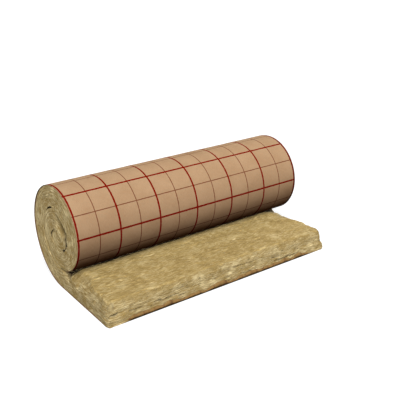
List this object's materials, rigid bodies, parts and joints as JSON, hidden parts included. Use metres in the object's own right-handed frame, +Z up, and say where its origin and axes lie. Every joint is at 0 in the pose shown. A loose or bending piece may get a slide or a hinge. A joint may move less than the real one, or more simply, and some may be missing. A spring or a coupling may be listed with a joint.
{
  "type": "insulation roll",
  "caption": "Stone wool insulation mat with a gridded kraft paper facing, wound into a roll whose free end lies flat in front of it, to be cut and laid in lofts, floors and walls.",
  "frame": {"origin": "on the floor, at the middle of the object's footprint", "axes": "+X along the roll's axis, -Y towards the mat's free edge, +Z up"},
  "size_m": [1.2, 0.6459, 0.468],
  "materials": {
    "stone_wool": "matt, fibrous",
    "kraft_paper": "satin, printed with a red cutting grid"
  },
  "bodies": {
    "root": {"stone_wool_mat": "stone_wool", "kraft_facing": "kraft_paper"}
  },
  "joints": []
}
